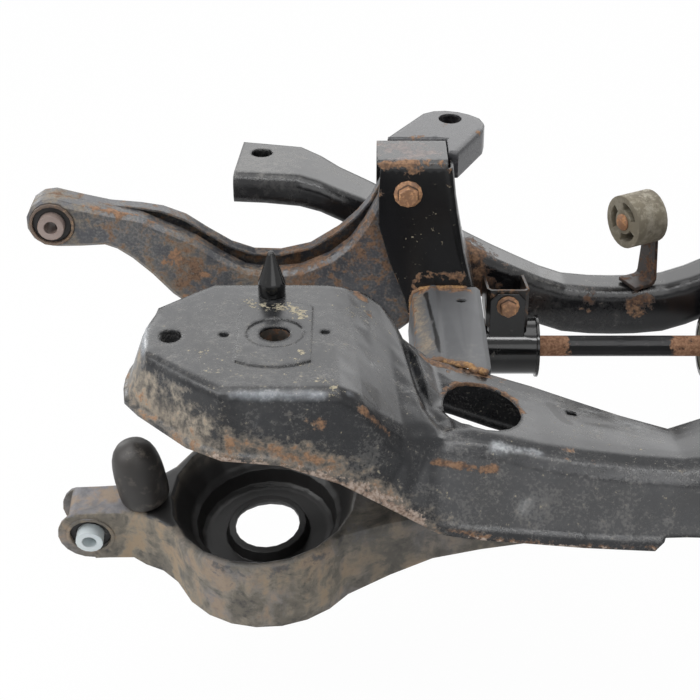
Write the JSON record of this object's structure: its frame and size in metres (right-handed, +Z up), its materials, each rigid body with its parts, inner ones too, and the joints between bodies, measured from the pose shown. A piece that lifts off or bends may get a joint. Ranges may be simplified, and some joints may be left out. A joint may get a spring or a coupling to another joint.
{
  "type": "rear axle subframe",
  "caption": "Pressed steel rear axle subframe with a front beam, rear crossmember, towers, sprung arms and stabiliser bar.",
  "frame": {"origin": "middle of the two front body mounts, on the beam's top face", "axes": "+X across the car, +Y towards the rear crossmember, +Z up"},
  "size_m": [1.3294, 0.581, 0.351],
  "materials": {
    "black_paint": "worn satin",
    "worn_paint": "worn, dusty",
    "arm_paint": "worn, dusty",
    "bar_steel": "worn, rusty",
    "rusty_steel": "rusty",
    "bare_sleeve": "dull",
    "zinc_sleeve": "zinc",
    "black_rubber": "matt",
    "aged_rubber": "aged"
  },
  "bodies": {
    "frame": {"front_beam": "black_paint", "rear_crossmember": "black_paint", "exhaust_hanger_bracket": "black_paint", "exhaust_hanger_rubber": "black_rubber", "exhaust_hanger_pin": "rusty_steel", "left_tower": "black_paint", "left_side_rail": "black_paint", "left_locating_pin": "rusty_steel", "left_mount_sleeve": "worn_paint", "left_bar_clamp_bracket": "black_paint", "left_bar_clamp": "black_paint", "left_bar_bush": "aged_rubber", "left_clamp_bolt": "rusty_steel", "left_top_mount_arm": "black_paint", "left_lower_clevis": "black_paint", "left_lower_pivot_bolt": "rusty_steel", "left_upper_pivot_bolt": "rusty_steel", "left_upper_pivot_nut": "rusty_steel", "left_upper_inner_sleeve": "bare_sleeve", "left_lower_inner_sleeve": "bare_sleeve", "right_tower": "black_paint", "right_side_rail": "black_paint", "right_locating_pin": "rusty_steel", "right_mount_sleeve": "worn_paint", "right_bar_clamp_bracket": "black_paint", "right_bar_clamp": "black_paint", "right_bar_bush": "aged_rubber", "right_clamp_bolt": "rusty_steel", "right_top_mount_arm": "black_paint", "right_lower_clevis": "black_paint", "right_lower_pivot_bolt": "rusty_steel", "right_upper_pivot_bolt": "rusty_steel", "right_upper_pivot_nut": "rusty_steel", "right_upper_inner_sleeve": "bare_sleeve", "right_lower_inner_sleeve": "bare_sleeve"},
    "left_upper_arm": {"left_upper_arm_front_half": "worn_paint", "left_upper_arm_rear_half": "worn_paint", "left_upper_outer_eye": "rusty_steel", "left_upper_outer_rubber": "black_rubber", "left_upper_outer_sleeve": "bare_sleeve", "left_upper_inner_rubber": "black_rubber"},
    "right_upper_arm": {"right_upper_arm_front_half": "worn_paint", "right_upper_arm_rear_half": "worn_paint", "right_upper_outer_eye": "rusty_steel", "right_upper_outer_rubber": "black_rubber", "right_upper_outer_sleeve": "bare_sleeve", "right_upper_inner_rubber": "black_rubber"},
    "left_lower_arm": {"left_lower_arm": "arm_paint", "left_bump_stop": "black_rubber", "left_lower_outer_rubber": "black_rubber", "left_lower_outer_sleeve": "zinc_sleeve", "left_lower_inner_rubber": "black_rubber", "left_lower_arm_plug": "black_rubber"},
    "right_lower_arm": {"right_lower_arm": "arm_paint", "right_bump_stop": "black_rubber", "right_lower_outer_rubber": "black_rubber", "right_lower_outer_sleeve": "zinc_sleeve", "right_lower_inner_rubber": "black_rubber", "right_lower_arm_plug": "black_rubber"},
    "stabiliser_bar": {"stabiliser_bar": "bar_steel"}
  },
  "joints": [
    {"name": "left_upper_arm_pivot", "type": "hinge", "parent": "frame", "child": "left_upper_arm", "pos_m": [-0.251, 0.296, 0.023], "axis": [0, 1, 0], "range_deg": [-12, 15], "stiffness_Nm_per_rad": 140, "springref_deg": 2.86},
    {"name": "left_lower_arm_pivot", "type": "hinge", "parent": "frame", "child": "left_lower_arm", "pos_m": [-0.085, 0.012, -0.2], "axis": [0, 0.9816, 0.1908], "range_deg": [-10, 5], "stiffness_Nm_per_rad": 150, "springref_deg": 5.16},
    {"name": "right_upper_arm_pivot", "type": "hinge", "parent": "frame", "child": "right_upper_arm", "pos_m": [0.251, 0.296, 0.023], "axis": [0, -1, 0], "range_deg": [-12, 15], "stiffness_Nm_per_rad": 140, "springref_deg": 2.86},
    {"name": "right_lower_arm_pivot", "type": "hinge", "parent": "frame", "child": "right_lower_arm", "pos_m": [0.085, 0.012, -0.2], "axis": [0, -0.9816, -0.1908], "range_deg": [-10, 5], "stiffness_Nm_per_rad": 150, "springref_deg": 5.16},
    {"name": "stabiliser_bar_twist", "type": "hinge", "parent": "frame", "child": "stabiliser_bar", "pos_m": [0, 0.32, -0.197], "axis": [1, 0, 0], "range_deg": [-8, 8], "stiffness_Nm_per_rad": 40}
  ]
}
